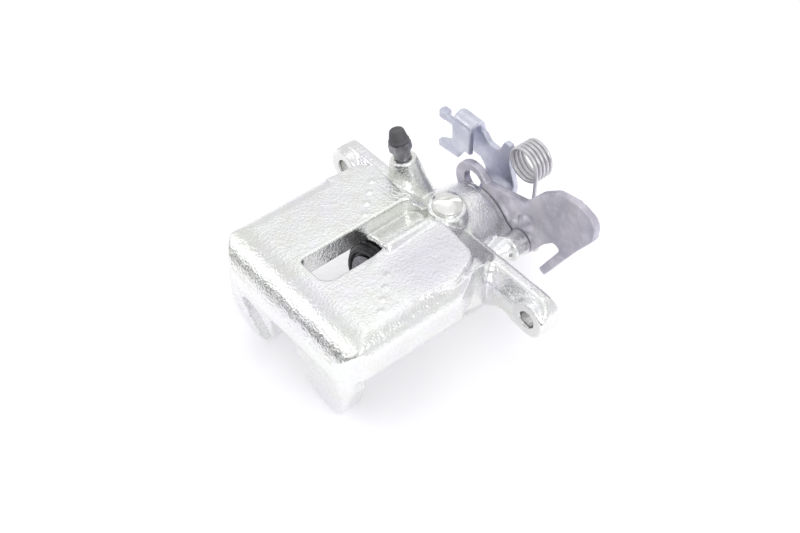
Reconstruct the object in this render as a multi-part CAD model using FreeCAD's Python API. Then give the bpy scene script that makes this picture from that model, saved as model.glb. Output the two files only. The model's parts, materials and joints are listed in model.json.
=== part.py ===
import FreeCAD, Part
import math
import os

from FreeCAD import Placement, Rotation, Vector

# Floating rear brake caliper with a ball-and-ramp parking brake, in millimetres.
# Origin: midway between the two guide-pin holes, on the ears' machined outboard face.
# +X towards the cable-bracket side, +Y inboard along the piston axis, +Z away from the disc centre.

# ---- driving dimensions -------------------------------------------------------------------------
guide_spacing = 136.0
guide_hole_radius = 4.5
ear_depth = 12.0

piston_radius = 18.0
axis_z = -8.0
bore_gap = 0.04
mouth_y = -31.0
bore_end_y = 24.0
back_y = 34.0
barrel_radius = 25.5
dome_radius = 23.0

bridge_half_width = 51.0
bridge_front_y = -92.0
bridge_back_y = -5.0
bridge_top_z = 25.0
bridge_rim_z = 2.0
disc_radius = 133.0
disc_tunnel_top_z = 13.0
finger_inner_y = -78.0
finger_tip_z = -34.0
scoop_x = -25.5
scoop_z = -10.5
window_left_x = -10.0
window_right_x = 9.0
window_front_y = -71.0
window_back_y = -3.0

shaft_radius = 7.0
stub_radius = 5.0
flat_reach = 4.0
ball_radius = 3.0
ball_pitch_radius = 10.0
ball_count = 3
ball_centre_y = 16.75
lever_travel_deg = 30.0
ramp_lift = 1.2
ramp_face_gap = 0.6

bleed_base = Vector(-24.0, 9.2, 5.0)
bleed_top = Vector(-30.3, 8.0, 29.0)
bleed_hex_low = 4.2
bleed_hex_height = 4.8
port_place = Vector(5.0, 6.0, 23.4)
port_tilt_deg = 8.0
port_hole_radius = 5.0

plate_thickness = 4.0
lever_thickness = 3.0
lever_hub_y = 41.0
lever_arm_y = 48.5
running_gap = 0.05

lug_places = [(29.0, 0.0), (-27.0, -21.0)]
lug_radius = 6.8
bolt_radius = 4.0


# ---- shape helpers ------------------------------------------------------------------------------
def rounded_wire(points):
    """Closed wire in the plane of the points; each point is (vector, corner radius)."""
    count = len(points)
    starts = []
    ends = []
    middles = []
    for i in range(count):
        here, radius = points[i]
        to_last = (points[i - 1][0] - here).normalize()
        to_next = (points[(i + 1) % count][0] - here).normalize()
        if radius <= 0:
            starts.append(here)
            ends.append(here)
            middles.append(None)
            continue
        half = to_last.getAngle(to_next) / 2
        reach = radius / math.tan(half)
        bisector = (to_last + to_next).normalize()
        starts.append(here + to_last * reach)
        ends.append(here + to_next * reach)
        middles.append(here + bisector * (radius / math.sin(half) - radius))
    edges = []
    for i in range(count):
        if middles[i] is not None:
            edges.append(Part.Arc(starts[i], middles[i], ends[i]).toShape())
        after = starts[(i + 1) % count]
        if ends[i].distanceToPoint(after) > 1e-6:
            edges.append(Part.LineSegment(ends[i], after).toShape())
    return Part.Wire(edges)


def prism_y(outline, y_low, y_high):
    """Outline of (x, z, corner radius) extruded along Y."""
    wire = rounded_wire([(Vector(x, y_low, z), r) for x, z, r in outline])
    return Part.Face(wire).extrude(Vector(0, y_high - y_low, 0))


def prism_x(outline, x_low, x_high):
    """Outline of (y, z, corner radius) extruded along X."""
    wire = rounded_wire([(Vector(x_low, y, z), r) for y, z, r in outline])
    return Part.Face(wire).extrude(Vector(x_high - x_low, 0, 0))


def prism_z(outline, z_low, z_high):
    """Outline of (x, y, corner radius) extruded along Z."""
    wire = rounded_wire([(Vector(x, y, z_low), r) for x, y, r in outline])
    return Part.Face(wire).extrude(Vector(0, 0, z_high - z_low))


def cylinder_y(radius, y_low, y_high, x=0.0, z=axis_z):
    return Part.makeCylinder(radius, y_high - y_low, Vector(x, y_low, z), Vector(0, 1, 0))


def ring_y(outer, inner, y_low, y_high, x=0.0, z=axis_z):
    return cylinder_y(outer, y_low, y_high, x, z).cut(cylinder_y(inner, y_low - 1, y_high + 1, x, z))


def turned_y(profile, x=0.0, z=axis_z):
    """Solid of revolution about a Y line; the profile is (radius, y) points."""
    points = [Vector(x + r, y, z) for r, y in profile]
    face = Part.Face(Part.makePolygon(points + [points[0]]))
    return face.revolve(Vector(x, 0, z), Vector(0, 1, 0), 360)


def turned_z(profile):
    """Solid of revolution about Z; the profile is (radius, z) points."""
    points = [Vector(r, 0, z) for r, z in profile]
    face = Part.Face(Part.makePolygon(points + [points[0]]))
    return face.revolve(Vector(0, 0, 0), Vector(0, 0, 1), 360)


def hex_prism(across_flats, height):
    radius = across_flats / math.sqrt(3)
    corners = [(radius * math.cos(math.radians(60 * i)), radius * math.sin(math.radians(60 * i)), 0)
               for i in range(6)]
    return prism_z(corners, 0, height)


def chamfered_hex(across_flats, height, chamfer):
    """Hexagon along Z with both ends' corners turned off."""
    radius = across_flats / math.sqrt(3)
    cone = turned_z([(0, 0), (radius - chamfer, 0), (radius, chamfer * 0.6),
                     (radius, height - chamfer * 0.6), (radius - chamfer, height), (0, height)])
    return hex_prism(across_flats, height).common(cone)


def placed(shape, base, direction):
    """The shape, made along +Z from the origin, moved to base and turned along direction."""
    result = shape.copy()
    result.Placement = Placement(base, Rotation(Vector(0, 0, 1), direction))
    return result


def rod(start, end, radius):
    run = end - start
    return Part.makeCylinder(radius, run.Length, start, run)


def smooth_wire(points, radius):
    """Round wire swept along one smooth curve through the points."""
    path = Part.BSplineCurve()
    path.interpolate(points)
    section = Part.Wire(Part.makeCircle(radius, points[0], path.tangent(path.FirstParameter)[0]))
    return Part.Wire([path.toShape()]).makePipeShell([section], True, True)


def helix_points(radius, y_low, y_high, turns, x=0.0, z=axis_z):
    """Points along a helix about a Y line, starting at +X and turning towards +Z."""
    per_turn = 12
    steps = int(turns * per_turn)
    points = []
    for i in range(steps + 1):
        turn = 2 * math.pi * i / per_turn
        points.append(Vector(x + radius * math.cos(turn), y_low + (y_high - y_low) * i / steps,
                             z + radius * math.sin(turn)))
    return points


def mirrored_x(shape):
    return shape.mirror(Vector(0, 0, 0), Vector(1, 0, 0))


def one_solid(shape):
    result = shape.removeSplitter()
    return result.Solids[0] if len(result.Solids) == 1 else result


# ---- housing casting ----------------------------------------------------------------------------
def bridge_plan():
    w = bridge_half_width
    return [(-w, bridge_front_y, 18), (w, bridge_front_y, 17), (w, -25, 5), (43, bridge_back_y - 3, 8),
            (-40, bridge_back_y + 2, 8), (-w, -25, 8)]


def bridge():
    """Arched plate over the disc, rounded down into the outboard face."""
    w = bridge_half_width
    low = bridge_rim_z
    side = [(bridge_front_y, low, 2), (bridge_front_y, bridge_top_z, 21), (30, bridge_top_z, 0), (30, low, 0)]
    section = [(-w, low, 2), (-w, bridge_top_z, 11), (w, bridge_top_z, 11), (w, low, 2)]
    block = prism_z(bridge_plan(), low - 1, bridge_top_z + 1)
    block = block.common(prism_x(side, -w - 5, w + 5))
    block = block.common(prism_y(section, bridge_front_y - 5, 35))
    tunnel = cylinder_y(disc_radius, finger_inner_y, 40, 0, disc_tunnel_top_z - disc_radius)
    return block.cut(tunnel)


def cast_pad():
    """Raised land on the bracket side of the bridge, fading towards the outboard face."""
    plan = [(9, -40, 4), (9, -8, 5), (17, -5, 4), (40, -8, 9), (47, -24, 9), (42, -50, 12), (16, -56, 12)]
    slope = [(-60, 20, 0), (-60, 24.6, 0), (-6, 27.8, 0), (-2, 20, 0)]
    return prism_z(plan, 18, 30).common(prism_x(slope, 0, 60))


def window_rail():
    """Rolled lip along the bracket side of the window, with its two cast nubs."""
    front_y = -37
    outline = [(7.5, 16, 0), (7.5, 28.4, 1.7), (11.8, 28.4, 1.7), (14.5, 24, 0), (14.5, 16, 0)]
    rail = prism_y(outline, front_y, -9)
    end_edges = [e for e in rail.Edges if abs(e.CenterOfMass.y - front_y) < 0.01 and e.CenterOfMass.z > 20]
    rail = rail.makeFillet(1.5, end_edges)
    nub_a = Part.makeSphere(3.2, Vector(8.5, -25, 23.5))
    nub_b = Part.makeSphere(2.8, Vector(8.5, -11, 24.0))
    return rail.multiFuse([nub_a, nub_b])


def finger():
    """Outboard finger on the +X side, a broad tongue with a rounded tip."""
    outline = [(9.5, 6, 0), (48, 6, 0), (46.5, -8, 8), (41.5, -23, 8), (35, finger_tip_z, 4),
               (24, finger_tip_z, 8), (13.5, -27, 5), (10.3, -9, 14), (9.5, 0, 0)]
    front = bridge_front_y + 0.8
    side = [(front, 8, 0), (front, 1, 4), (front + 5, finger_tip_z, 3.5), (finger_inner_y, finger_tip_z, 2.5),
            (finger_inner_y, 8, 0)]
    body = prism_y(outline, bridge_front_y - 2, finger_inner_y + 2).common(prism_x(side, 0, 60))
    return body.common(prism_z(bridge_plan(), finger_tip_z - 5, 30))


def finger_scoop():
    """Round-ended trough through the -X finger, open at its inner lower edge."""
    radius = 8.6
    low_y = bridge_front_y - 5
    high_y = finger_inner_y + 5
    hole = cylinder_y(radius, low_y, high_y, scoop_x, scoop_z)
    run = Vector(11.5, 0, -25.5)
    across = Vector(-run.z, 0, run.x).normalize() * radius
    start = Vector(scoop_x, low_y, scoop_z)
    corners = [start + across, start - across, start - across + run, start + across + run]
    trough = Part.Face(Part.makePolygon(corners + corners[:1])).extrude(Vector(0, high_y - low_y, 0))
    return hole.fuse(trough)


def outboard_wall():
    """Solid front wall that carries both fingers."""
    outline = [(-49, bridge_rim_z - 1.5, 3), (-49, 18, 0), (49, 18, 0), (49, bridge_rim_z - 1.5, 3)]
    side = [(bridge_front_y + 0.6, bridge_rim_z - 1.5, 1), (bridge_front_y + 0.6, 10, 0),
            (-80, 18, 0), (finger_inner_y, 18, 0), (finger_inner_y, bridge_rim_z - 1.5, 0)]
    body = prism_y(outline, -95, -70).common(prism_x(side, -60, 60))
    return body.common(prism_z(bridge_plan(), -5, 30))


def barrel():
    """Cylinder body and its domed inboard end."""
    profile = [(0, mouth_y), (barrel_radius - 1.5, mouth_y), (barrel_radius, mouth_y + 1.5),
               (barrel_radius, 12), (barrel_radius - 0.6, 20), (dome_radius + 1.2, 27),
               (dome_radius + 0.6, 30.5), (dome_radius - 0.2, 30.5), (dome_radius - 0.6, 31.2),
               (dome_radius - 0.6, back_y), (0, back_y)]
    return turned_y(profile)


def shoulder():
    """Web that joins bridge, barrel and ears."""
    top = bridge_top_z
    side = [(-30, 4, 0), (-30, top, 0), (-8, top, 8), (12, 9, 5), (12, -6, 3), (2, -8, 0), (-20, 0, 4)]
    plan = [(-46, -28, 0), (-44, -6, 8), (-32, 13, 4), (32, 13, 4), (45, -6, 8), (47, -28, 0)]
    return prism_x(side, -50, 50).common(prism_z(plan, -10, 30))


def ear():
    """Guide-pin ear on the +X side, with its arched arm."""
    reach = guide_spacing / 2
    outline = [(10, 11, 0), (reach + 10, 11, 9), (reach + 10, -9.5, 9.4), (reach - 7, -9.5, 6),
               (reach - 12, -6.7, 6), (50, -6.9, 10), (42, -12.2, 20), (34, -20.5, 15), (28.5, -32, 0),
               (16, -32, 0), (10, -20, 0)]
    side = [(0, -40, 0), (0, 3, 3), (7, 12, 2), (ear_depth, 12, 2.5), (ear_depth, -40, 0)]
    body = prism_y(outline, -1, ear_depth + 1).common(prism_x(side, 5, 90))
    return body.fuse(cylinder_y(9.5, 0, ear_depth, reach, 0))


def bleed_boss():
    axis = bleed_top - bleed_base
    return Part.makeCone(12.5, 6.8, axis.Length, bleed_base, axis)


def port_direction():
    tilt = math.radians(port_tilt_deg)
    return Vector(math.sin(tilt), 0, math.cos(tilt))


def port_boss():
    return Part.makeCone(12.0, 9.6, 17.0, port_place - port_direction() * 17.0, port_direction())


def bracket_lug(x, z):
    """Bolt boss beside the dome, tapered outboard, with a root part of the way back to the piston axis."""
    share = 0.55
    full_y = 25.0
    taper = 12.0
    root = cylinder_y(9.0, 22, back_y, x * share, axis_z + (z - axis_z) * share)
    nose = Part.makeCone(3.0, lug_radius, taper, Vector(x * 0.94, full_y - taper, z), Vector(0, 1, 0))
    boss = cylinder_y(lug_radius, full_y - 0.5, back_y, x, z)
    return boss.multiFuse([nose, root])


def hydraulic_cuts():
    """Bore, seal groove, boot seat, shaft tunnel and the two drilled passages."""
    bore = cylinder_y(piston_radius + bore_gap, mouth_y - 1, bore_end_y)
    seal_groove = cylinder_y(20.6, -14.5, -11.1)
    boot_seat = cylinder_y(21.5, mouth_y - 1, mouth_y + 3.2)
    circlip_groove = cylinder_y(19.4, 6.8, 8.0)
    shaft_tunnel = cylinder_y(8.6, bore_end_y - 1, back_y + 1)
    seal_pocket = cylinder_y(11.0, back_y - 3.2, back_y + 1)
    pin_hole = cylinder_y(1.5, bore_end_y - 1, 29.2, 0, axis_z - 15.8)
    up = port_direction()
    port_hole = rod(port_place + up, port_place - up * 11.5, port_hole_radius)
    port_drilling = rod(port_place, port_place - up * 20, 1.6)
    bleed_axis = (bleed_top - bleed_base).normalize()
    bleed_hole = rod(bleed_top + bleed_axis, bleed_top - bleed_axis * 13.2, 3.54)
    bleed_drilling = rod(bleed_top - bleed_axis * 12, Vector(-12, 9, axis_z + 12), 1.5)
    cuts = [seal_groove, boot_seat, circlip_groove, shaft_tunnel, seal_pocket, pin_hole,
            port_hole, port_drilling, bleed_hole, bleed_drilling]
    return bore.multiFuse(cuts)


def caliper_housing():
    window = prism_z([(window_left_x, window_front_y, 2.5), (window_right_x, window_front_y, 6),
                      (window_right_x, window_back_y, 4), (window_left_x, window_back_y, 7)], 12, 40)
    keep_barrel = cylinder_y(barrel_radius, mouth_y, back_y)
    keep_port = port_boss()
    window = window.cut(keep_barrel).cut(keep_port)
    plate = bridge().multiFuse([cast_pad(), shoulder()]).cut(window)
    ears = ear()
    pieces = [plate, window_rail(), outboard_wall(), finger(), mirrored_x(finger()).cut(finger_scoop()), ears,
              mirrored_x(ears), bleed_boss(), port_boss()]
    pieces += [bracket_lug(x, z) for x, z in lug_places]
    body = barrel().multiFuse(pieces)
    body = body.cut(hydraulic_cuts())
    for side in (-1, 1):
        hole = cylinder_y(guide_hole_radius, -2, ear_depth + 2, side * guide_spacing / 2, 0)
        body = body.cut(hole)
    for x, z in lug_places:
        body = body.cut(cylinder_y(bolt_radius + 0.02, 22, back_y + 1, x, z))
    return one_solid(body)


# ---- piston and adjuster ------------------------------------------------------------------------
def piston():
    r = piston_radius
    nose = -37.0
    outer = [(0, nose + 0.6), (12.4, nose + 0.6), (12.8, nose), (r - 2.6, nose), (r - 1.8, nose + 0.8),
             (r - 1.8, nose + 3.6), (r, nose + 4.2), (r, 4.0), (r - 1, 5.0)]
    cavity = [(14.0, 5.0), (14.0, -7.2), (14.9, -7.2), (14.9, -8.4), (14.0, -8.4), (14.0, -25.0),
              (12.3, -25.8), (8.0, -30.2), (6.0, -30.2), (6.0, -32.5), (0, -32.5)]
    body = turned_y(outer + cavity)
    for side in (-1, 1):
        body = body.cut(cylinder_y(2.0, nose - 1, nose + 3.0, side * 8.0))
    return body


def adjuster_nut():
    profile = [(4.06, -29.4), (8.0, -29.4), (11.9, -25.6), (11.9, -23.0), (7.0, -23.0), (7.0, -9.6),
               (6.4, -9.0), (4.06, -9.0)]
    return turned_y(profile)


def adjuster_thrust_bearing():
    return turned_y([(7.1, -22.9), (11.8, -22.9), (11.8, -22.3), (11.0, -22.3), (11.0, -21.9), (11.8, -21.9),
                     (11.8, -21.3), (7.1, -21.3), (7.1, -21.9), (8.2, -21.9), (8.2, -22.3), (7.1, -22.3)])


def adjuster_spring():
    return smooth_wire(helix_points(9.6, -20.3, -10.3, 4), 0.8)


def adjuster_spring_seat():
    return ring_y(13.6, 7.3, -9.4, -8.45)


def open_ring(outer, inner, y_low, y_high, gap_half_width):
    """Circlip: flat ring with a gap at its lower side and two eyelets."""
    body = ring_y(outer, inner, y_low, y_high)
    gap = Part.makeBox(gap_half_width * 2, 10, outer + 5,
                       Vector(-gap_half_width, y_low - 2, axis_z - outer - 5))
    body = body.cut(gap)
    for side in (-1, 1):
        x = side * (gap_half_width + 1.7)
        eye = ring_y(1.7, 0.8, y_low, y_high, x, axis_z - inner + 0.4)
        body = body.cut(cylinder_y(1.6, y_low - 1, y_high + 1, x, axis_z - inner + 0.4)).fuse(eye)
    return one_solid(body)


def adjuster_circlip():
    return open_ring(14.8, 12.4, -8.35, -7.25, 2.0)


def piston_seal():
    return ring_y(20.5, piston_radius + running_gap, -14.4, -11.2)


def piston_boot():
    """Dust boot: seat bead, cover ring, convolutions and the lip in the piston's groove."""
    profile = [(18.3, -28.2), (21.4, -28.2), (21.4, -31.1), (22.0, -31.2), (22.3, -31.8), (22.3, -32.8),
               (21.9, -33.4), (21.2, -33.2), (20.6, -34.8), (19.6, -36.0), (18.2, -36.0), (17.4, -34.8),
               (16.3, -34.8), (16.3, -33.9), (18.0, -33.9), (18.9, -34.8), (19.8, -33.8), (20.4, -32.0),
               (19.6, -30.4), (18.3, -30.2)]
    return turned_y(profile)


# ---- parking-brake actuator inside the barrel ---------------------------------------------------
def on_pitch(angle_deg, y):
    turn = math.radians(angle_deg)
    return Vector(ball_pitch_radius * math.sin(turn), y, axis_z + ball_pitch_radius * math.cos(turn))


def ball_groove(first_deg, last_deg, first_y, last_y):
    """Space swept by a ball that rolls from one place to the other, with working clearance."""
    steps = 3
    radius = ball_radius + 0.1
    centres = []
    for i in range(steps + 1):
        share = i / steps
        centres.append(on_pitch(first_deg + (last_deg - first_deg) * share,
                                first_y + (last_y - first_y) * share))
    pieces = [Part.makeSphere(radius, c) for c in centres]
    pieces += [rod(centres[i], centres[i + 1], radius) for i in range(steps)]
    return pieces[0].multiFuse(pieces[1:])


def push_rod():
    """Sliding ramp plate with the stud that carries the adjuster nut."""
    face_y = ball_centre_y - ramp_face_gap
    profile = [(0, -31.4), (3.4, -31.4), (4.0, -30.8), (4.0, 5.0), (6.0, 5.0), (6.0, 10.6), (16.9, 10.6),
               (16.9, face_y), (0, face_y)]
    body = turned_y(profile)
    roll = lever_travel_deg / 2
    for i in range(ball_count):
        start = 360 / ball_count * i
        body = body.cut(ball_groove(start, start + roll, ball_centre_y, ball_centre_y + ramp_lift))
    return body.cut(cylinder_y(1.7, 5, 20, 0, axis_z - 15.8))


def ramp_balls():
    balls = []
    for i in range(ball_count):
        balls.append(Part.makeSphere(ball_radius, on_pitch(360 / ball_count * i, ball_centre_y)))
    return Part.makeCompound(balls)


def ball_cage():
    half = 0.4
    body = ring_y(14.0, 5.5, ball_centre_y - half, ball_centre_y + half)
    for i in range(ball_count):
        centre = on_pitch(360 / ball_count * i, ball_centre_y)
        body = body.cut(cylinder_y(ball_radius + 0.05, 10, 20, centre.x, centre.z))
    return body


def lever_shaft():
    """Turning ramp plate, journal and the flatted stub that carries the lever."""
    face_y = ball_centre_y + ramp_face_gap
    journal = shaft_radius
    profile = [(0, face_y), (13.0, face_y), (13.0, 22.9), (journal, 22.9), (journal, lever_hub_y),
               (stub_radius, lever_hub_y), (stub_radius, 55.0), (stub_radius - 1, 56.0), (0, 56.0)]
    body = turned_y(profile)
    roll = lever_travel_deg / 2
    for i in range(ball_count):
        start = 360 / ball_count * i
        body = body.cut(ball_groove(start - roll, start, ball_centre_y, ball_centre_y))
    flat_y = lever_hub_y + lever_thickness
    for side in (-1, 1):
        low = axis_z + flat_reach if side > 0 else axis_z - flat_reach - 4
        body = body.cut(Part.makeBox(14, flat_y - lever_hub_y, 4, Vector(-7, lever_hub_y, low)))
    return body


def shaft_thrust_washer():
    return ring_y(12.4, shaft_radius + running_gap, 22.95, 23.95)


def shaft_bush():
    return ring_y(8.6, shaft_radius + running_gap, bore_end_y + 0.2, back_y - 3.3)


def shaft_seal():
    gap = running_gap
    profile = [(shaft_radius + 1.0, 30.9), (10.95, 30.9), (10.95, 34.0), (9.6, 34.0), (9.6, 32.2),
               (8.2, 32.2), (shaft_radius + gap, 33.6), (shaft_radius + gap, 32.6)]
    return turned_y(profile)


def push_rod_spring():
    return smooth_wire(helix_points(10.0, -0.25, 9.35, 3), 0.9)


def spring_cage():
    profile = [(5.0, -2.0), (12.0, -2.0), (12.8, -1.2), (12.8, 8.1), (17.9, 8.1), (17.9, 8.9), (12.0, 8.9),
               (12.0, -1.2), (5.0, -1.2)]
    return turned_y(profile)


def cage_circlip():
    return open_ring(19.3, 16.6, 6.9, 7.9, 3.0)


def anti_rotation_pin():
    body = cylinder_y(1.5, 10.9, 29.0, 0, axis_z - 15.8)
    return body.makeChamfer(0.3, [e for e in body.Edges if e.Curve.TypeId == "Part::GeomCircle"])


# ---- parking-brake hardware outside -------------------------------------------------------------
def lever_outline():
    """Arm from the hub up to its cable end and its spring horn."""
    arm = [(-9, -19, 6), (9, -19, 6), (12, -6, 8), (9, 8, 14), (2.8, 24, 8), (3.2, 35, 2), (-1.5, 35.5, 2),
           (-5, 27, 4), (-12, 27, 4), (-16, 31, 1), (-17.9, 31, 0), (-17.9, 15, 4), (-10, 8, 10),
           (-12, -6, 8)]
    return prism_y(arm, 35, 60)


def lever_strip():
    """Joggled strip, seen along X, that the outline is cut from."""
    t = lever_thickness
    near = lever_hub_y
    far = lever_arm_y
    strip = [(near, -30, 0), (near, 3, 5), (far, 12, 3), (far, 60, 0), (far + t, 60, 0), (far + t, 10.5, 6),
             (near + t, 1.5, 3), (near + t, -30, 0)]
    return prism_x(strip, -40, 40)


def cable_hook():
    """Folded-over channel for the cable's end, open at both ends along X."""
    t = lever_thickness
    front = 40.7
    back = lever_arm_y + t
    outer_radius = (back - front) / 2
    mid = (front + back) / 2
    top_z = 38.6
    fold_z = top_z - outer_radius
    left = -31.0
    right = -17.9
    shell = prism_x([(front, 19, 2), (front, top_z, outer_radius - 0.01), (back, top_z, outer_radius - 0.01),
                     (back, 15, 0), (lever_arm_y, 15, 0), (lever_arm_y, 19, 0)], left, right)
    hollow = prism_x([(front + t, 0, 0), (front + t, top_z - t, outer_radius - t - 0.01),
                      (lever_arm_y, top_z - t, outer_radius - t - 0.01), (lever_arm_y, 0, 0)],
                     left - 5, right + 5)
    body = shell.cut(hollow)
    upper = prism_z([(left + 1, front, 0), (left - 10.5, front, 1.2), (left - 10.5, front + 5, 1.2),
                     (left + 1, front + 5, 0)], fold_z - 3.0, fold_z + 1.4)
    neck = Part.makeBox(6.5, t, 3.0, Vector(left - 6, front, fold_z - 2.4))
    upper = upper.common(Part.makeBox(5, 8, 10, Vector(left - 10.6, front - 1, fold_z - 5))).fuse(neck)
    lower = prism_y([(left + 1.5, 20.5, 0), (left - 4, 18.5, 1), (left - 10, 15.5, 1), (left - 10, 11.5, 1),
                     (left - 3, 12.0, 2), (left + 5, 12.5, 2), (left + 9, 20, 0)], front, front + t)
    return body.multiFuse([upper, lower])


def parking_lever():
    arm = lever_outline().common(lever_strip())
    body = arm.fuse(cable_hook())
    hole = cylinder_y(stub_radius + 0.02, lever_hub_y - 2, lever_hub_y + lever_thickness + 2)
    reach = flat_reach + running_gap
    flats = Part.makeBox(14, 10, 2 * reach, Vector(-7, lever_hub_y - 3, axis_z - reach))
    return one_solid(body.cut(hole.common(flats)))


def lever_washer():
    y = lever_hub_y + lever_thickness
    return ring_y(8.4, stub_radius + running_gap, y, y + 1.4)


def lever_nut():
    y = lever_hub_y + lever_thickness + 1.4
    body = placed(chamfered_hex(15.0, 7.0, 1.0), Vector(0, y, axis_z), Vector(0, 1, 0))
    return body.cut(cylinder_y(stub_radius + 0.01, y - 1, y + 9))


def lever_return_spring():
    """Torsion spring beside the arm: coil, straight leg to the bracket, bent leg behind the arm."""
    wire = 1.0
    centre_x = 15.0
    centre_z = 32.5
    radius = 9.2
    y_start = 45.6
    y_end = 56.4
    outer = centre_x + radius
    inner = centre_x - radius
    points = [Vector(outer - 1, 39.2, 8), Vector(outer, 42.5, 11.5), Vector(outer, 45.0, 16),
              Vector(outer, y_start, 21), Vector(outer, y_start, 27)]
    points += helix_points(radius, y_start, y_end, 4.5, centre_x, centre_z)
    points += [Vector(inner - 0.4, y_end, 27.5), Vector(inner - 2.4, y_end, 23.6), Vector(-1, y_end, 21.6),
               Vector(-8, y_end - 0.8, 21.4), Vector(-14, 52.8, 22)]
    return smooth_wire(points, wire)


def cable_bracket():
    """Fixed plate bolted behind the barrel, with the lever's rest arch and the cable stop."""
    t = plate_thickness
    y = back_y
    outline = [(-16, 8, 3), (-5, 17, 6), (14, 21.5, 20), (28.5, 25, 6), (38.5, 38, 10), (48, 45.5, 10),
               (61, 48, 14), (73.5, 44, 7), (73, 33, 8), (63, 17.9, 10), (46, -11, 1.2), (42, -9.2, 1.2),
               (54.3, 12.4, 2), (50, 14.4, 2.5), (44, 9, 4), (32, -8, 3), (16, -26, 8), (-24, -30, 7),
               (-36, -24, 7), (-28, -8, 8)]
    plate = prism_y(outline, y, y + t)
    lip = prism_y([(62, 20, 1), (46, -11, 0.8), (42, -9.2, 0.8), (56, 16, 1)], y + 0.5, y + t + 2)
    sight_hole = cylinder_y(6.4, y - 5, y + t + 1, -7, 13.5)
    arch = cylinder_y(11.8, y, y + t, -8, 12).common(Part.makeBox(40, 20, 40, Vector(-30, y - 5, 3)))
    gusset = Part.makeSphere(6.0, Vector(31, y + 3.2, 13.5))
    gusset = gusset.common(Part.makeBox(30, 8, 30, Vector(16, y - 4, 0)))
    body = plate.multiFuse([lip, arch, gusset])
    body = body.cut(sight_hole)
    body = body.cut(cylinder_y(11.6, y - 1, y + t + 1))
    for x, z in lug_places:
        body = body.cut(cylinder_y(bolt_radius + 0.3, y - 1, y + t + 1, x, z))
    return one_solid(body)


def bracket_bolts():
    bolts = []
    for x, z in lug_places:
        seat = back_y + plate_thickness
        shank = cylinder_y(bolt_radius, back_y - 11, seat + 1, x, z)
        skirt = [(0, seat), (8.2, seat), (8.2, seat + 0.9), (7.0, seat + 1.5), (0, seat + 1.5)]
        flange = turned_y(skirt, x, z)
        head = placed(chamfered_hex(12.0, 5.6, 0.8), Vector(x, seat + 0.6, z), Vector(0, 1, 0))
        bolts.append(one_solid(shank.multiFuse([flange, head])))
    return Part.makeCompound(bolts)


# ---- hydraulic fittings -------------------------------------------------------------------------
def bleed_screw():
    """Made along +Z from the boss face: threaded shank and neck, hexagon and nipple above."""
    shank = turned_z([(0, -13.0), (1.2, -13.0), (2.4, -10.8), (3.5, -10.8), (3.5, -0.6), (3.2, 0), (3.2, 0.4),
                      (4.3, 0.8), (4.3, bleed_hex_low + 0.5), (0, bleed_hex_low + 0.5)])
    nut = placed(chamfered_hex(10.0, bleed_hex_height, 0.8), Vector(0, 0, bleed_hex_low), Vector(0, 0, 1))
    top = bleed_hex_low + bleed_hex_height
    nipple = turned_z([(0, top - 1), (2.6, top - 1), (2.6, top + 2.2), (3.0, top + 3.0), (3.0, top + 3.8),
                       (2.3, top + 5.4), (0, top + 5.4)])
    body = shank.multiFuse([nut, nipple])
    body = body.cut(Part.makeCylinder(0.9, 22.0, Vector(0, 0, -3.0), Vector(0, 0, 1)))
    return placed(body, bleed_top, bleed_top - bleed_base)


def bleed_cap():
    """Short tapered rubber cap with a brim, over the nipple."""
    low = bleed_hex_low + bleed_hex_height + 0.1
    outer = [(5.1, low), (5.3, low + 0.4), (5.3, low + 1.2), (4.8, low + 1.6), (3.7, low + 6.6),
             (3.2, low + 7.0), (0, low + 7.0)]
    inner = [(0, low + 5.6), (3.1, low + 5.6), (3.1, low)]
    return placed(turned_z(outer + inner), bleed_top, bleed_top - bleed_base)


def port_plug():
    """Slotted, domed transport plug in the hose port."""
    dome_sphere = 14.0
    head_radius = 7.6
    head_height = 3.4
    crown = Part.makeSphere(dome_sphere, Vector(0, 0, 1.0 + head_height - dome_sphere))
    head = Part.makeCylinder(head_radius, head_height, Vector(0, 0, 1.0)).common(crown)
    stem = Part.makeCylinder(port_hole_radius - 0.02, 11.0, Vector(0, 0, -9.9))
    body = head.fuse(stem)
    slot = Part.makeBox(2 * head_radius + 2, 1.7, 1.8, Vector(-head_radius - 1, -0.85, head_height - 0.8))
    slot.rotate(Vector(0, 0, 0), Vector(0, 0, 1), 62)
    return placed(body.cut(slot), port_place, port_direction())


def port_washer():
    body = Part.makeCylinder(7.4, 1.0).cut(Part.makeCylinder(port_hole_radius + 0.05, 3, Vector(0, 0, -1)))
    return placed(body, port_place, port_direction())


# ---- write every node ---------------------------------------------------------------------------
nodes = [caliper_housing, piston, adjuster_nut, adjuster_thrust_bearing, adjuster_spring,
         adjuster_spring_seat, adjuster_circlip, piston_seal, piston_boot, push_rod, ramp_balls, ball_cage,
         lever_shaft, shaft_thrust_washer, shaft_bush, shaft_seal, push_rod_spring, spring_cage,
         cage_circlip, anti_rotation_pin, parking_lever, lever_washer, lever_nut, lever_return_spring,
         cable_bracket, bracket_bolts, bleed_screw, bleed_cap, port_plug, port_washer]

os.makedirs("parts", exist_ok=True)
for make in nodes:
    shape = make()
    shape.exportStep("parts/" + make.__name__ + ".step")
    print(make.__name__, "solids", len(shape.Solids), "valid", shape.isValid(),
          "volume", round(shape.Volume), "mm3")
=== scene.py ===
import json
import math

import bmesh
import bpy
import numpy as np
from mathutils import Matrix, Vector, noise


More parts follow.
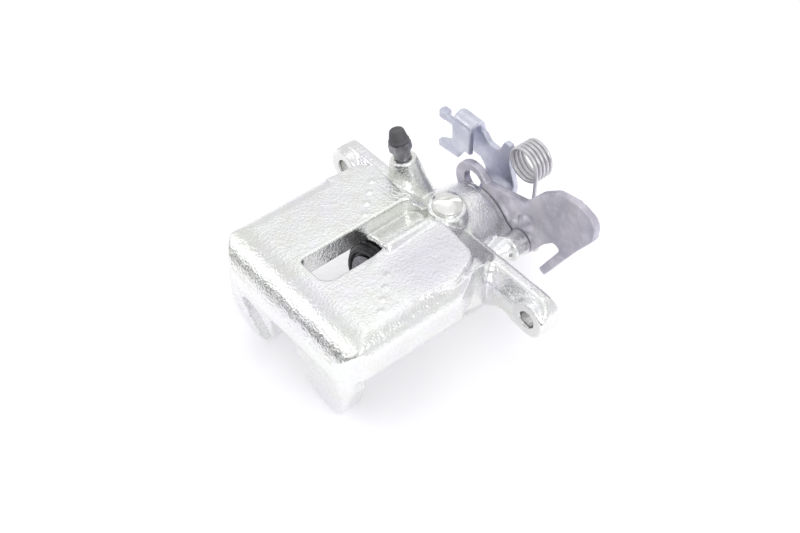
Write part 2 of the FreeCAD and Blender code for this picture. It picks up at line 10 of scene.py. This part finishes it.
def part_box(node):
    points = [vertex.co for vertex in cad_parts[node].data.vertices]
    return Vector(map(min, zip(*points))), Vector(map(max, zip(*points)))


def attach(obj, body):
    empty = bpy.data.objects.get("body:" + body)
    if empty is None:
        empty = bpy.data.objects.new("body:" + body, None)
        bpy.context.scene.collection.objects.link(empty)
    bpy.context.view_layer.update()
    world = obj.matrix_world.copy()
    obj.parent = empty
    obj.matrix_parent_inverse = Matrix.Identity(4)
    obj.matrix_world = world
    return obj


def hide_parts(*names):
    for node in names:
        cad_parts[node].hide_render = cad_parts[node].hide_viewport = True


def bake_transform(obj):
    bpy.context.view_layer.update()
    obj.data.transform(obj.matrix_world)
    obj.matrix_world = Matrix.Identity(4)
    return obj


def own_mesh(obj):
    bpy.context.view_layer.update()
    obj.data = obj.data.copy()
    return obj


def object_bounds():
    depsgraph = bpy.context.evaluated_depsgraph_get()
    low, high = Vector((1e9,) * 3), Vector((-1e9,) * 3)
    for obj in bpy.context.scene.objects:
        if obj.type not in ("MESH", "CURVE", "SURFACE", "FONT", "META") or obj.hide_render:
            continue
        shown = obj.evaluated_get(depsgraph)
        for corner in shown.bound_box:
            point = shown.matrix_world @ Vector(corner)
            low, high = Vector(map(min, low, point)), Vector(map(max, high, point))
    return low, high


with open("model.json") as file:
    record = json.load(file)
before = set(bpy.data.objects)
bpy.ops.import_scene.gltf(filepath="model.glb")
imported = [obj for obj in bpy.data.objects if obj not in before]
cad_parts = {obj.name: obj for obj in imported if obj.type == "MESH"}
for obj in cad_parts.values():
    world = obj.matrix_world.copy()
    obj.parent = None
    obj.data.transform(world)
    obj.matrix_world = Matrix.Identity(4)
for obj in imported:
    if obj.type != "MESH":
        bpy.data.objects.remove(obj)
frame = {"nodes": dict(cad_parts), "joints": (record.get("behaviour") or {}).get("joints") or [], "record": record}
cad_low, cad_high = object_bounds()

MM = 0.001
nodes = frame["nodes"]


# ---- places and sizes read from the frame -------------------------------------------------------
def middle(node):
    low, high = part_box(node)
    return (low + high) / 2


guide_pattern = next(m for m in frame["record"]["mounts"] if m["name"] == "guide_pin_holes")
guide_x = guide_pattern["dims"]["spacing_x_mm"] * MM / 2
guide_hole = guide_pattern["dims"]["hole_r_mm"] * MM
axis_z = middle("piston").z
back_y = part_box("cable_bracket")[0].y
cap_joint = next(j for j in frame["joints"] if j["name"] == "bleed_cap_pull")
bleed_joint = next(j for j in frame["joints"] if j["name"] == "bleed_screw_turn")
bleed_axis = Vector(cap_joint["axis"]).normalized()
bleed_place = Vector(bleed_joint["pos_m"])


# ---- material building --------------------------------------------------------------------------
class Shader:
    """Small helper that adds nodes to one Principled material."""

    def __init__(self, name):
        self.material = bpy.data.materials.new(name)
        self.material.use_nodes = True
        self.tree = self.material.node_tree
        self.bsdf = self.tree.nodes["Principled BSDF"]
        coordinates = self.tree.nodes.new("ShaderNodeTexCoord")
        self.place = coordinates.outputs["Object"]

    def node(self, kind, **settings):
        made = self.tree.nodes.new(kind)
        for key, value in settings.items():
            setattr(made, key, value)
        return made

    def link(self, source, target):
        self.tree.links.new(source, target)

    def stretched(self, scale):
        mapping = self.node("ShaderNodeMapping")
        mapping.inputs["Scale"].default_value = scale
        self.link(self.place, mapping.inputs["Vector"])
        return mapping.outputs["Vector"]

    def noise(self, size_mm, detail=3.0, roughness=0.55, distortion=0.0, place=None):
        """Noise whose features are about size_mm across."""
        made = self.node("ShaderNodeTexNoise")
        made.inputs["Scale"].default_value = 1.0 / (size_mm * MM)
        made.inputs["Detail"].default_value = detail
        made.inputs["Roughness"].default_value = roughness
        made.inputs["Distortion"].default_value = distortion
        self.link(place or self.place, made.inputs["Vector"])
        return made.outputs["Fac"]

    def cells(self, size_mm):
        made = self.node("ShaderNodeTexVoronoi", feature="F1")
        made.inputs["Scale"].default_value = 1.0 / (size_mm * MM)
        self.link(self.place, made.inputs["Vector"])
        return made.outputs["Distance"]

    def span(self, value, from_low, from_high, to_low=0.0, to_high=1.0):
        made = self.node("ShaderNodeMapRange", clamp=True)
        made.inputs["From Min"].default_value = from_low
        made.inputs["From Max"].default_value = from_high
        made.inputs["To Min"].default_value = to_low
        made.inputs["To Max"].default_value = to_high
        self.link(value, made.inputs["Value"])
        return made.outputs["Result"]

    def sum(self, first, second, operation="ADD"):
        made = self.node("ShaderNodeMath", operation=operation)
        for socket, value in zip(made.inputs, (first, second)):
            if isinstance(value, (int, float)):
                socket.default_value = value
            else:
                self.link(value, socket)
        return made.outputs["Value"]

    def mix(self, share, first, second):
        """Colour mix; colours are (r, g, b) or sockets."""
        made = self.node("ShaderNodeMix", data_type="RGBA")
        if isinstance(share, float):
            made.inputs[0].default_value = share
        else:
            self.link(share, made.inputs[0])
        for socket, value in ((made.inputs[6], first), (made.inputs[7], second)):
            if isinstance(value, tuple):
                socket.default_value = (*value, 1.0)
            else:
                self.link(value, socket)
        return made.outputs[2]

    def attribute(self, name):
        made = self.node("ShaderNodeAttribute", attribute_name=name)
        return made.outputs["Fac"]

    def edges(self, low=0.52, high=0.62):
        """1 on sharp outer edges of a dense mesh, 0 on flats."""
        geometry = self.node("ShaderNodeNewGeometry")
        return self.span(geometry.outputs["Pointiness"], low, high)

    def bump(self, height, strength, depth_mm, below=None):
        made = self.node("ShaderNodeBump")
        made.inputs["Distance"].default_value = depth_mm * MM
        if isinstance(strength, float):
            made.inputs["Strength"].default_value = strength
        else:
            self.link(strength, made.inputs["Strength"])
        self.link(height, made.inputs["Height"])
        if below is not None:
            self.link(below, made.inputs["Normal"])
        return made.outputs["Normal"]

    def finish(self, colour, roughness, normal, metallic, **fixed):
        self.link(colour, self.bsdf.inputs["Base Color"])
        self.link(roughness, self.bsdf.inputs["Roughness"])
        if normal is not None:
            self.link(normal, self.bsdf.inputs["Normal"])
        self.bsdf.inputs["Metallic"].default_value = metallic
        for key, value in fixed.items():
            self.bsdf.inputs[key.replace("_", " ")].default_value = value
        return self.material


def cast_zinc():
    """Bright zinc plate over a sand-cast skin; machined places are smoother and greyer."""
    s = Shader("cast_zinc")
    machined = s.attribute("machined")
    ring = s.attribute("ring")
    pad = s.attribute("pad")
    cloud = s.span(s.noise(26, 3), 0.35, 0.65)
    patch = s.span(s.noise(9, 4, 0.6), 0.42, 0.62)
    speckle = s.span(s.noise(0.9, 2, 0.5), 0.35, 0.7)
    plated = s.mix(cloud, (0.88, 0.90, 0.865), (0.87, 0.865, 0.90))
    plated = s.mix(s.sum(patch, 0.35, "MULTIPLY"), plated, (0.80, 0.81, 0.71))
    plated = s.mix(s.sum(speckle, 0.22, "MULTIPLY"), plated, (0.64, 0.65, 0.66))
    plated = s.mix(s.sum(s.edges(0.51, 0.60), 0.5, "MULTIPLY"), plated, (0.95, 0.96, 0.94))
    # painted shade: the raised pad land is tinted darker lilac-grey, standing in for the shade of its slight tilt
    plated = s.mix(s.sum(pad, 0.7, "MULTIPLY"), plated, (0.66, 0.645, 0.71))
    cut = s.mix(cloud, (0.76, 0.77, 0.76), (0.81, 0.81, 0.79))
    colour = s.mix(machined, plated, cut)
    rough = s.sum(s.span(s.noise(3.5, 3), 0.3, 0.7, 0.13, 0.26), s.span(speckle, 0, 1, 0.0, 0.07))
    grain = s.sum(s.noise(0.95, 2, 0.6), s.sum(s.cells(1.5), 0.55, "MULTIPLY"))
    keep = s.span(machined, 0.0, 1.0, 1.0, 0.06)
    normal = s.bump(s.noise(5.5, 2), s.sum(keep, 0.35, "MULTIPLY"), 0.6)
    normal = s.bump(grain, s.sum(keep, 0.7, "MULTIPLY"), 0.23, normal)
    turning = s.noise(0.35, 2, 0.5, place=ring)
    normal = s.bump(turning, s.sum(machined, 0.25, "MULTIPLY"), 0.05, normal)
    return s.finish(colour, rough, normal, 0.96)


def pressed_steel(name, base, deep, light, rough_low, rough_high):
    """Passivated pressed steel with a satin skin, faint rolling lines and lit cut edges."""
    s = Shader(name)
    cloud = s.span(s.noise(14, 3), 0.32, 0.68)
    stain = s.span(s.noise(5, 4, 0.65, 0.6), 0.45, 0.68)
    rolled = s.noise(1.6, 3, 0.6, place=s.stretched((1.0, 1.0, 0.12)))
    colour = s.mix(cloud, base, deep)
    colour = s.mix(s.sum(stain, 0.4, "MULTIPLY"), colour, light)
    colour = s.mix(s.sum(s.span(rolled, 0.4, 0.7), 0.18, "MULTIPLY"), colour, deep)
    colour = s.mix(s.sum(s.edges(0.53, 0.62), 0.7, "MULTIPLY"), colour, light)
    rough = s.span(s.noise(3.0, 4), 0.3, 0.7, rough_low, rough_high)
    normal = s.bump(s.noise(0.6, 2), 0.25, 0.06)
    normal = s.bump(s.noise(7, 2), 0.2, 0.4, normal)
    return s.finish(colour, rough, normal, 0.85)


def turned_metal(name, base, dark, rough_low, rough_high, metallic=1.0, grain_mm=0.5, grain=0.2):
    """Machined or plated metal with fine marks and light soiling."""
    s = Shader(name)
    cloud = s.span(s.noise(4.0, 4), 0.3, 0.7)
    fleck = s.span(s.noise(0.7, 2), 0.55, 0.75)
    colour = s.mix(cloud, base, dark)
    colour = s.mix(s.sum(fleck, 0.25, "MULTIPLY"), colour, dark)
    rough = s.span(s.noise(1.8, 3), 0.3, 0.7, rough_low, rough_high)
    marks = s.noise(grain_mm, 2, 0.5, place=s.stretched((0.35, 1.0, 1.0)))
    normal = s.bump(marks, grain, 0.05)
    return s.finish(colour, rough, normal, metallic)


def drawn_wire():
    """Spring wire with a fine grain and a light oxide bloom."""
    s = Shader("spring_wire")
    cloud = s.span(s.noise(6.0, 3), 0.3, 0.7)
    spot = s.span(s.noise(0.8, 3), 0.55, 0.72)
    colour = s.mix(cloud, (0.74, 0.74, 0.75), (0.62, 0.61, 0.63))
    colour = s.mix(s.sum(spot, 0.4, "MULTIPLY"), colour, (0.46, 0.44, 0.44))
    rough = s.span(s.noise(1.5, 3), 0.3, 0.7, 0.26, 0.42)
    normal = s.bump(s.noise(0.4, 2), 0.25, 0.04)
    return s.finish(colour, rough, normal, 1.0)


def moulded_rubber(name, base, worn, rough_low, rough_high):
    """Matt moulded rubber with a fine grain and a greyish bloom."""
    s = Shader(name)
    bloom = s.span(s.noise(5.0, 4, 0.6), 0.4, 0.7)
    dust = s.span(s.noise(0.6, 3), 0.58, 0.75)
    colour = s.mix(s.sum(bloom, 0.6, "MULTIPLY"), base, worn)
    colour = s.mix(s.sum(dust, 0.3, "MULTIPLY"), colour, (0.16, 0.16, 0.17))
    rough = s.span(s.noise(1.2, 3), 0.3, 0.7, rough_low, rough_high)
    normal = s.bump(s.noise(0.45, 3), 0.35, 0.06)
    return s.finish(colour, rough, normal, 0.0, Specular_IOR_Level=0.4)


# ---- mesh building ------------------------------------------------------------------------------
def points_of(mesh):
    flat = np.empty(len(mesh.vertices) * 3, np.float64)
    mesh.vertices.foreach_get("co", flat)
    return flat.reshape(-1, 3)


def set_points(mesh, points):
    mesh.vertices.foreach_set("co", points.astype(np.float32).ravel())
    mesh.update()


def as_object(name, mesh, material, body, slot, *stands_for):
    piece = bpy.data.objects.new(name, mesh)
    bpy.context.scene.collection.objects.link(piece)
    mesh.materials.clear()
    mesh.materials.append(material)
    if body:
        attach(piece, body)
    if stands_for:
        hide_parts(*stands_for)
    return piece


def remeshed(node, voxel_mm):
    """Even, dense copy of a CAD node's mesh."""
    work = bpy.data.objects.new("work", nodes[node].data.copy())
    bpy.context.scene.collection.objects.link(work)
    modifier = work.modifiers.new("voxels", "REMESH")
    modifier.mode = "VOXEL"
    modifier.voxel_size = voxel_mm * MM
    graph = bpy.context.evaluated_depsgraph_get()
    mesh = bpy.data.meshes.new_from_object(work.evaluated_get(graph))
    old = work.data
    bpy.data.objects.remove(work)
    bpy.data.meshes.remove(old)
    mesh.polygons.foreach_set("use_smooth", [True] * len(mesh.polygons))
    return mesh


def smoothed(mesh, weight, rounds):
    """Moves points towards their neighbours' mean, then part of the way back, so nothing shrinks."""
    pairs = np.empty(len(mesh.edges) * 2, np.int64)
    mesh.edges.foreach_get("vertices", pairs)
    first, second = pairs.reshape(-1, 2).T
    points = points_of(mesh)
    count = np.bincount(pairs, minlength=len(points))[:, None].clip(1)
    for step in range(rounds * 2):
        share = 0.55 if step % 2 == 0 else -0.53
        total = np.zeros_like(points)
        for axis in range(3):
            total[:, axis] += np.bincount(first, points[second, axis], len(points))
            total[:, axis] += np.bincount(second, points[first, axis], len(points))
        points += share * weight[:, None] * (total / count - points)
    set_points(mesh, points)
    return points


def normals_of(mesh):
    flat = np.empty(len(mesh.vertices) * 3, np.float32)
    mesh.vertices.foreach_get("normal", flat)
    return flat.reshape(-1, 3).astype(np.float64)


def store(mesh, name, values):
    attribute = mesh.attributes.new(name, "FLOAT", "POINT")
    attribute.data.foreach_set("value", values.astype(np.float32))


def fade(value, low, high):
    share = np.clip((value - low) / (high - low), 0, 1)
    return share * share * (3 - 2 * share)


def lathe(name, profile, segments=96):
    """Closed mesh turned about Z from (radius, height) points in mm, shaded smooth."""
    mesh = bpy.data.meshes.new(name)
    build = bmesh.new()
    rows = []
    for radius, height in profile:
        row = []
        for i in range(segments):
            turn = 2 * math.pi * i / segments
            place = Vector((radius * math.cos(turn), radius * math.sin(turn), height)) * MM
            row.append(build.verts.new(place))
        rows.append(row)
    for near, far in zip(rows, rows[1:]):
        for i in range(segments):
            after = (i + 1) % segments
            build.faces.new((near[i], near[after], far[after], far[i]))
    for row, flip in ((rows[0], True), (rows[-1], False)):
        build.faces.new(list(reversed(row)) if flip else row)
    bmesh.ops.recalc_face_normals(build, faces=build.faces)
    build.to_mesh(mesh)
    build.free()
    mesh.polygons.foreach_set("use_smooth", [True] * len(mesh.polygons))
    return mesh


def rounded(profile, radius, steps=4):
    """The (radius, height) points with their corners rounded."""
    made = [profile[0]]
    for i in range(1, len(profile) - 1):
        here, last, after = (Vector(profile[i]), Vector(profile[i - 1]), Vector(profile[i + 1]))
        back, ahead = last - here, after - here
        reach = min(radius, back.length * 0.45, ahead.length * 0.45)
        start, end = here + back.normalized() * reach, here + ahead.normalized() * reach
        for step in range(steps + 1):
            t = step / steps
            point = start * (1 - t) ** 2 + here * 2 * t * (1 - t) + end * t ** 2
            made.append((point.x, point.y))
    made.append(profile[-1])
    return made


def turn_along(mesh, place, direction):
    turn = direction.to_track_quat("Z", "Y").to_matrix().to_4x4()
    mesh.transform(Matrix.Translation(place) @ turn)


# ---- materials ----------------------------------------------------------------------------------
zinc_skin = cast_zinc()
lever_skin = pressed_steel("lever_steel", (0.72, 0.73, 0.82), (0.54, 0.56, 0.67), (0.88, 0.87, 0.95),
                           0.28, 0.44)
bracket_skin = pressed_steel("bracket_steel", (0.66, 0.63, 0.69), (0.48, 0.47, 0.55), (0.86, 0.84, 0.93),
                             0.30, 0.46)
fastener_skin = turned_metal("zinc_fastener", (0.91, 0.92, 0.90), (0.80, 0.80, 0.77), 0.16, 0.30)
dark_skin = turned_metal("dark_fastener", (0.40, 0.40, 0.42), (0.24, 0.24, 0.26), 0.30, 0.46)
piston_skin = turned_metal("piston_steel", (0.27, 0.26, 0.28), (0.17, 0.17, 0.19), 0.34, 0.5)
steel_skin = turned_metal("plain_steel", (0.56, 0.56, 0.58), (0.44, 0.44, 0.46), 0.22, 0.38)
ball_skin = turned_metal("bearing_steel", (0.78, 0.78, 0.80), (0.70, 0.70, 0.73), 0.06, 0.14)
bronze_skin = turned_metal("bush_bronze", (0.62, 0.46, 0.25), (0.46, 0.33, 0.18), 0.3, 0.45)
wire_skin = drawn_wire()
boot_skin = moulded_rubber("boot_rubber", (0.012, 0.012, 0.014), (0.03, 0.03, 0.035), 0.38, 0.55)
cap_skin = moulded_rubber("cap_rubber", (0.10, 0.098, 0.105), (0.16, 0.157, 0.167), 0.5, 0.7)


# ---- housing skin -------------------------------------------------------------------------------
def distance_from_line(points, x, z):
    return np.hypot(points[:, 0] - x, points[:, 2] - z)


def machined_share(points):
    """1 on bores, faced ears, the back face and the pad faces, 0 on cast skin."""
    share = np.zeros(len(points))
    to_guide = np.minimum(distance_from_line(points, guide_x, 0), distance_from_line(points, -guide_x, 0))
    y, z = points[:, 1] / MM, points[:, 2] / MM
    ear_face_radius, ear_near_y, ear_far_y = 8.9 * MM, 0.35, 11.65
    faced = (to_guide < ear_face_radius) & ((y < ear_near_y) | (y > ear_far_y))
    share[faced | (to_guide < guide_hole + 0.5 * MM)] = 1
    mouth_y, seat_radius = -31.5, 21.8 * MM
    share[(y > mouth_y) & (distance_from_line(points, 0, axis_z) < seat_radius)] = 1
    share[points[:, 1] > back_y - 0.4 * MM] = 1
    pad_y, skin, rim_z = -78.0, 0.6, 3.0
    share[(np.abs(y - pad_y) < skin) & (z < rim_z)] = 1
    return share, to_guide


def pad_painted_shade(points):
    """1 on the raised land beside the window, where the plate gets a painted lilac-grey shade for its slight tilt
    away from the light.
    """
    x, y, z = points.T / MM
    across = fade(x, 8, 24) * (1 - fade(x, 34, 50))
    along = fade(y, -62, -32) * (1 - fade(y, -12, 2))
    return across * along * fade(z, 22, 25)


def cast_pips(points, normals):
    """Height of generic cast pips, two short rows of dots on top of the bridge."""
    top_radius, foot_radius, pip_height, per_row = 0.7 * MM, 1.7 * MM, 0.45 * MM, 4
    height = np.zeros(len(points))
    on_top = normals[:, 2] > 0.7
    rows = [(Vector((-30, -12)), Vector((5.2, -5.6))), (Vector((23, -46)), Vector((5.0, -5.4)))]
    for start, step in rows:
        for i in range(per_row):
            x, y = (start + step * i) * MM
            near = np.hypot(points[:, 0] - x, points[:, 1] - y)
            height = np.maximum(height, (1 - fade(near, top_radius, foot_radius)) * pip_height)
    return height * on_top


def cast_unevenness(points):
    """Slow and quick waviness of a sand-cast face, about -1 to 1."""
    slow, quick = 8 * MM, 2.4 * MM
    return np.array([noise.noise(Vector(p) / slow) + 0.3 * noise.noise(Vector(p) / quick) for p in points])


def housing_piece():
    """Casting: an even mesh with rounded corners, sharp where it is machined and slightly wavy elsewhere."""
    mesh = remeshed("caliper_housing", 0.8)
    start = points_of(mesh)
    machined, to_guide = machined_share(start)
    points = smoothed(mesh, 1 - 0.85 * machined, 14)
    normals = normals_of(mesh)
    waviness = 0.07 * MM
    lift = cast_unevenness(points) * waviness * (1 - machined) + cast_pips(points, normals)
    set_points(mesh, points + normals * lift[:, None])
    # mask for the painted lilac-grey shade on the raised pad land
    store(mesh, "pad", pad_painted_shade(start))
    store(mesh, "machined", machined)
    store(mesh, "ring", to_guide)
    return as_object("housing_casting", mesh, zinc_skin, "caliper", "cast_zinc", "caliper_housing")


# ---- pressed steel pieces -----------------------------------------------------------------------
def pressed_piece(name, node, voxel_mm, material, body, slot):
    mesh = remeshed(node, voxel_mm)
    smoothed(mesh, np.ones(len(mesh.vertices)), 4)
    return as_object(name, mesh, material, body, slot, node)


# ---- rubber pieces ------------------------------------------------------------------------------
def cap_piece():
    profile = [(3.15, 9.15), (5.1, 9.15), (5.3, 9.5), (5.3, 10.3), (4.75, 10.8), (4.6, 11.8), (3.75, 15.4),
               (3.1, 16.05), (1.6, 16.05), (1.4, 15.8), (0.02, 15.8)]
    inside = [(0.02, 14.7), (3.15, 14.7)]
    mesh = lathe("bleed_cap_moulding", rounded(inside + profile, 0.45))
    turn_along(mesh, bleed_place, bleed_axis)
    return as_object("bleed_cap_moulding", mesh, cap_skin, "bleeder_cap", "cap_rubber", "bleed_cap")


def boot_piece():
    """Dust boot whose folds run from its seat to the lip that the piston carries."""
    mesh = nodes["piston_boot"].data.copy()
    piece = as_object("piston_boot_folds", mesh, boot_skin, None, "black_rubber", "piston_boot")
    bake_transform(piece)


# ---- wire springs -------------------------------------------------------------------------------
def through(points, steps=6):
    """Points along a smooth curve that passes through the given ones."""
    padded = [points[0] * 2 - points[1], *points, points[-1] * 2 - points[-2]]
    made = []
    for before, start, end, after in zip(padded, padded[1:], padded[2:], padded[3:]):
        for step in range(steps):
            t = step / steps
            bend = 2 * before - 5 * start + 4 * end - after
            twist = 3 * start - before - 3 * end + after
            made.append((2 * start + (end - before) * t + bend * t ** 2 + twist * t ** 3) / 2)
    made.append(points[-1])
    return made


def wire_mesh(points, radius):
    """Round wire, in metres, along the points given in mm."""
    curve = bpy.data.curves.new("wire", "CURVE")
    curve.dimensions = "3D"
    curve.bevel_depth = radius * MM
    curve.bevel_resolution = 5
    curve.use_fill_caps = True
    spline = curve.splines.new("POLY")
    line = through(points)
    spline.points.add(len(line) - 1)
    for knot, place in zip(spline.points, line):
        knot.co = (*(place * MM), 1)
    work = bpy.data.objects.new("work", curve)
    bpy.context.scene.collection.objects.link(work)
    mesh = bpy.data.meshes.new_from_object(work.evaluated_get(bpy.context.evaluated_depsgraph_get()))
    bpy.data.objects.remove(work)
    bpy.data.curves.remove(curve)
    return mesh


def helix(centre_x, centre_z, radius, near, far, turns):
    """Points, in mm, along a helix about a Y line."""
    steps = int(turns * 12)
    points = []
    for i in range(steps + 1):
        turn = 2 * math.pi * i / 12
        points.append(Vector((centre_x + radius * math.cos(turn), near + (far - near) * i / steps,
                              centre_z + radius * math.sin(turn))))
    return points


def return_spring_piece():
    """Leg from the bracket, four and a half turns, leg behind the arm."""
    centre_x, centre_z, radius = 15.0, 32.5, 9.2
    near, far = 45.6, 56.4
    outer, inner = centre_x + radius, centre_x - radius
    points = [Vector(p) for p in ((outer - 1, 39.2, 8), (outer, 42.5, 11.5), (outer, 45.0, 16),
                                  (outer, near, 21), (outer, near, 27))]
    points += helix(centre_x, centre_z, radius, near, far, 4.5)
    points += [Vector(p) for p in ((inner - 0.4, far, 27.5), (inner - 2.4, far, 23.6), (-1, far, 21.6),
                                   (-8, far - 0.8, 21.4), (-14, 52.8, 22))]
    piece = as_object("return_spring_wire", wire_mesh(points, 1.0), wire_skin, None, "spring_steel",
                      "lever_return_spring")
    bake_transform(piece)


def push_rod_spring_piece():
    """Spring round the push rod."""
    low_y, high_y, wire = -0.25, 9.35, 0.9
    points = helix(0, axis_z / MM, 10.0, low_y, high_y, 3)
    piece = as_object("push_rod_spring_wire", wire_mesh(points, wire), wire_skin, "caliper", "spring_steel",
                      "push_rod_spring")
    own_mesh(piece)


# ---- carried-over CAD nodes ---------------------------------------------------------------------
def finish_node(node, material):
    mesh = nodes[node].data
    mesh.materials.clear()
    mesh.materials.append(material)



housing_piece()
pressed_piece("parking_lever_pressing", "parking_lever", 0.5, lever_skin, "lever", "lilac_steel")
pressed_piece("cable_bracket_pressing", "cable_bracket", 0.5, bracket_skin, "caliper", "dark_lilac_steel")
cap_piece()
boot_piece()
return_spring_piece()
push_rod_spring_piece()

finishes = {
    "piston": piston_skin, "adjuster_nut": steel_skin, "adjuster_thrust_bearing": steel_skin,
    "adjuster_spring": wire_skin, "adjuster_spring_seat": steel_skin, "adjuster_circlip": wire_skin,
    "piston_seal": boot_skin, "push_rod": steel_skin, "ramp_balls": ball_skin,
    "ball_cage": steel_skin, "lever_shaft": steel_skin, "shaft_thrust_washer": steel_skin,
    "shaft_bush": bronze_skin, "shaft_seal": boot_skin,
    "spring_cage": steel_skin, "cage_circlip": wire_skin, "anti_rotation_pin": ball_skin,
    "lever_washer": fastener_skin, "lever_nut": fastener_skin,
    "bracket_bolts": fastener_skin, "bleed_screw": dark_skin, "port_plug": fastener_skin,
    "port_washer": fastener_skin,
}
for node, material in finishes.items():
    finish_node(node, material)


# ---- studio -------------------------------------------------------------------------------------
def floor():
    """Pale table top, faintly lit from within so that shadows stay soft and light."""
    half = 3.0
    mesh = bpy.data.meshes.new("floor")
    corners = [(-half, -half), (half, -half), (half, half), (-half, half)]
    mesh.from_pydata([(x, y, cad_low.z) for x, y in corners], [], [(0, 1, 2, 3)])
    piece = bpy.data.objects.new("floor", mesh)
    bpy.context.scene.collection.objects.link(piece)
    s = Shader("pale_floor")
    colour = s.mix(s.span(s.noise(60, 3), 0.3, 0.7), (0.93, 0.925, 0.94), (0.95, 0.945, 0.955))
    rough = s.span(s.noise(15, 3), 0.3, 0.7, 0.7, 0.8)
    mesh.materials.append(s.finish(colour, rough, None, 0.0, Emission_Color=(0.97, 0.95, 1.0, 1.0),
                                   Emission_Strength=0.25))


def soft_world():
    """White tent, dimmer overhead, with one soft dark card low in front for the metal's curves to pick up."""
    world = bpy.data.worlds.new("tent")
    bpy.context.scene.world = world
    world.use_nodes = True
    tree = world.node_tree

    def added(kind, **settings):
        made = tree.nodes.new(kind)
        for key, value in settings.items():
            setattr(made, key, value)
        return made

    def eased(source, low, high):
        made = added("ShaderNodeMapRange", interpolation_type="SMOOTHSTEP")
        made.inputs["From Min"].default_value = low
        made.inputs["From Max"].default_value = high
        tree.links.new(source, made.inputs["Value"])
        return made.outputs["Result"]

    direction = added("ShaderNodeTexCoord").outputs["Generated"]
    split = added("ShaderNodeSeparateXYZ")
    tree.links.new(direction, split.inputs["Vector"])
    ramp = added("ShaderNodeValToRGB")
    tree.links.new(split.outputs["Z"], ramp.inputs["Fac"])
    stops = [(0.0, 0.70), (0.30, 0.74), (0.50, 0.74), (0.72, 0.60), (0.82, 0.84), (1.0, 0.84)]
    elements = ramp.color_ramp.elements
    while len(elements) < len(stops):
        elements.new(0.5)
    for element, (place, value) in zip(elements, stops):
        element.position = place
        element.color = (value, value, value * 1.01, 1)
    facing = added("ShaderNodeVectorMath", operation="DOT_PRODUCT")
    facing.inputs[1].default_value = (0.30, -0.95, 0.0)
    tree.links.new(direction, facing.inputs[0])
    card = added("ShaderNodeMath", operation="MULTIPLY")
    tree.links.new(eased(facing.outputs["Value"], 0.20, 0.72), card.inputs[0])
    tree.links.new(eased(split.outputs["Z"], 0.33, 0.20), card.inputs[1])
    mix = added("ShaderNodeMix", data_type="RGBA")
    tree.links.new(card.outputs["Value"], mix.inputs[0])
    tree.links.new(ramp.outputs["Color"], mix.inputs[6])
    mix.inputs[7].default_value = (0.0, 0.0, 0.0, 1)
    background = tree.nodes["Background"]
    tree.links.new(mix.outputs[2], background.inputs["Color"])
    background.inputs["Strength"].default_value = 1.17


def area_light(name, place, target, size, power):
    data = bpy.data.lights.new(name, "AREA")
    data.shape = "DISK"
    data.size = size
    data.energy = power
    light = bpy.data.objects.new(name, data)
    light.location = place
    light.rotation_mode = "QUATERNION"
    light.rotation_quaternion = (Vector(target) - Vector(place)).to_track_quat("-Z", "Y")
    bpy.context.scene.collection.objects.link(light)


def camera():
    azimuth, elevation, distance = math.radians(50), math.radians(46.5), 0.662
    back = Vector((math.sin(azimuth) * math.cos(elevation), -math.cos(azimuth) * math.cos(elevation),
                   math.sin(elevation)))
    aim = Vector((-2.24, -17.33, -8.94)) * MM
    data = bpy.data.cameras.new("camera")
    data.lens = 60.75
    data.sensor_width = 36
    data.clip_start = 0.01
    piece = bpy.data.objects.new("camera", data)
    piece.location = aim + back * distance
    piece.rotation_mode = "QUATERNION"
    piece.rotation_quaternion = (-back).to_track_quat("-Z", "Y")
    bpy.context.scene.collection.objects.link(piece)
    bpy.context.scene.camera = piece


floor()
soft_world()
area_light("overhead", (-0.25, 0.25, 0.75), (0, -0.02, 0), 0.7, 0.35)
area_light("front", (-0.48, -0.66, 0.42), (0, -0.06, 0), 0.42, 0.45)
area_light("side", (0.6, -0.1, 0.5), (0, -0.02, 0), 0.4, 0.9)
camera()
bpy.context.scene.view_settings.view_transform = "Standard"
